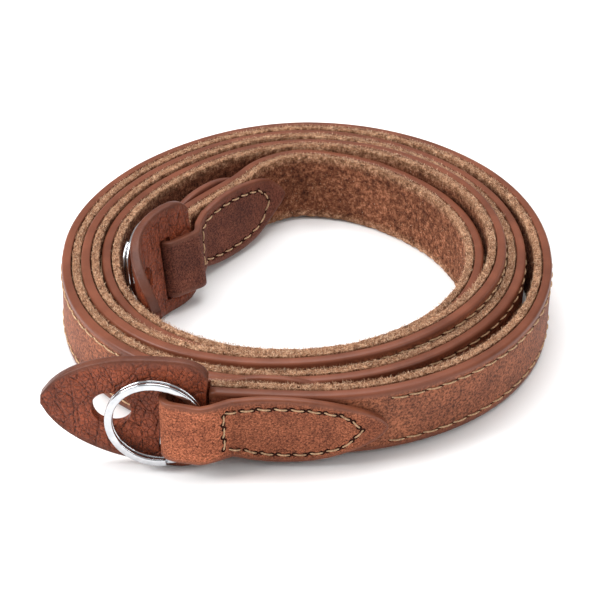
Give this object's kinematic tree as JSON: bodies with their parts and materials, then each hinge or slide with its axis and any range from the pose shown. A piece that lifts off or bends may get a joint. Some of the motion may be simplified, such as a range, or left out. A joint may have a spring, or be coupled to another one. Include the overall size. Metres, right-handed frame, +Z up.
{
  "type": "camera neck strap",
  "caption": "Coiled two-layer leather camera neck strap standing on edge, with stitched end tabs, split rings and leaf shaped ring guards.",
  "frame": {"origin": "under the middle of the whole coil's bounding box, on the floor", "axes": "+Z up, across the strap's width; -Y towards the open end's face, +X right as seen from there"},
  "size_m": [0.1006, 0.112, 0.0244],
  "materials": {
    "smooth_leather": "satin",
    "suede": "matte",
    "tab_leather": "matte",
    "guard_leather": "satin",
    "polished_steel": "polished"
  },
  "bodies": {
    "strap": {"strap_face": "smooth_leather", "strap_lining": "suede", "outer_tab": "tab_leather", "inner_tab": "tab_leather", "outer_ring_guard": "guard_leather", "inner_ring_guard": "guard_leather"},
    "outer_ring": {"outer_split_ring": "polished_steel"},
    "inner_ring": {"inner_split_ring": "polished_steel"}
  },
  "joints": [
    {"name": "outer_ring_turn", "type": "hinge", "parent": "strap", "child": "outer_ring", "pos_m": [-0.02775, -0.0517, 0.01109], "axis": [-0.0869, -0.9962, 0], "continuous": true},
    {"name": "inner_ring_turn", "type": "hinge", "parent": "strap", "child": "inner_ring", "pos_m": [-0.03139, 0.00437, 0.01044], "axis": [-0.8058, 0.5544, -0.2079], "continuous": true}
  ]
}
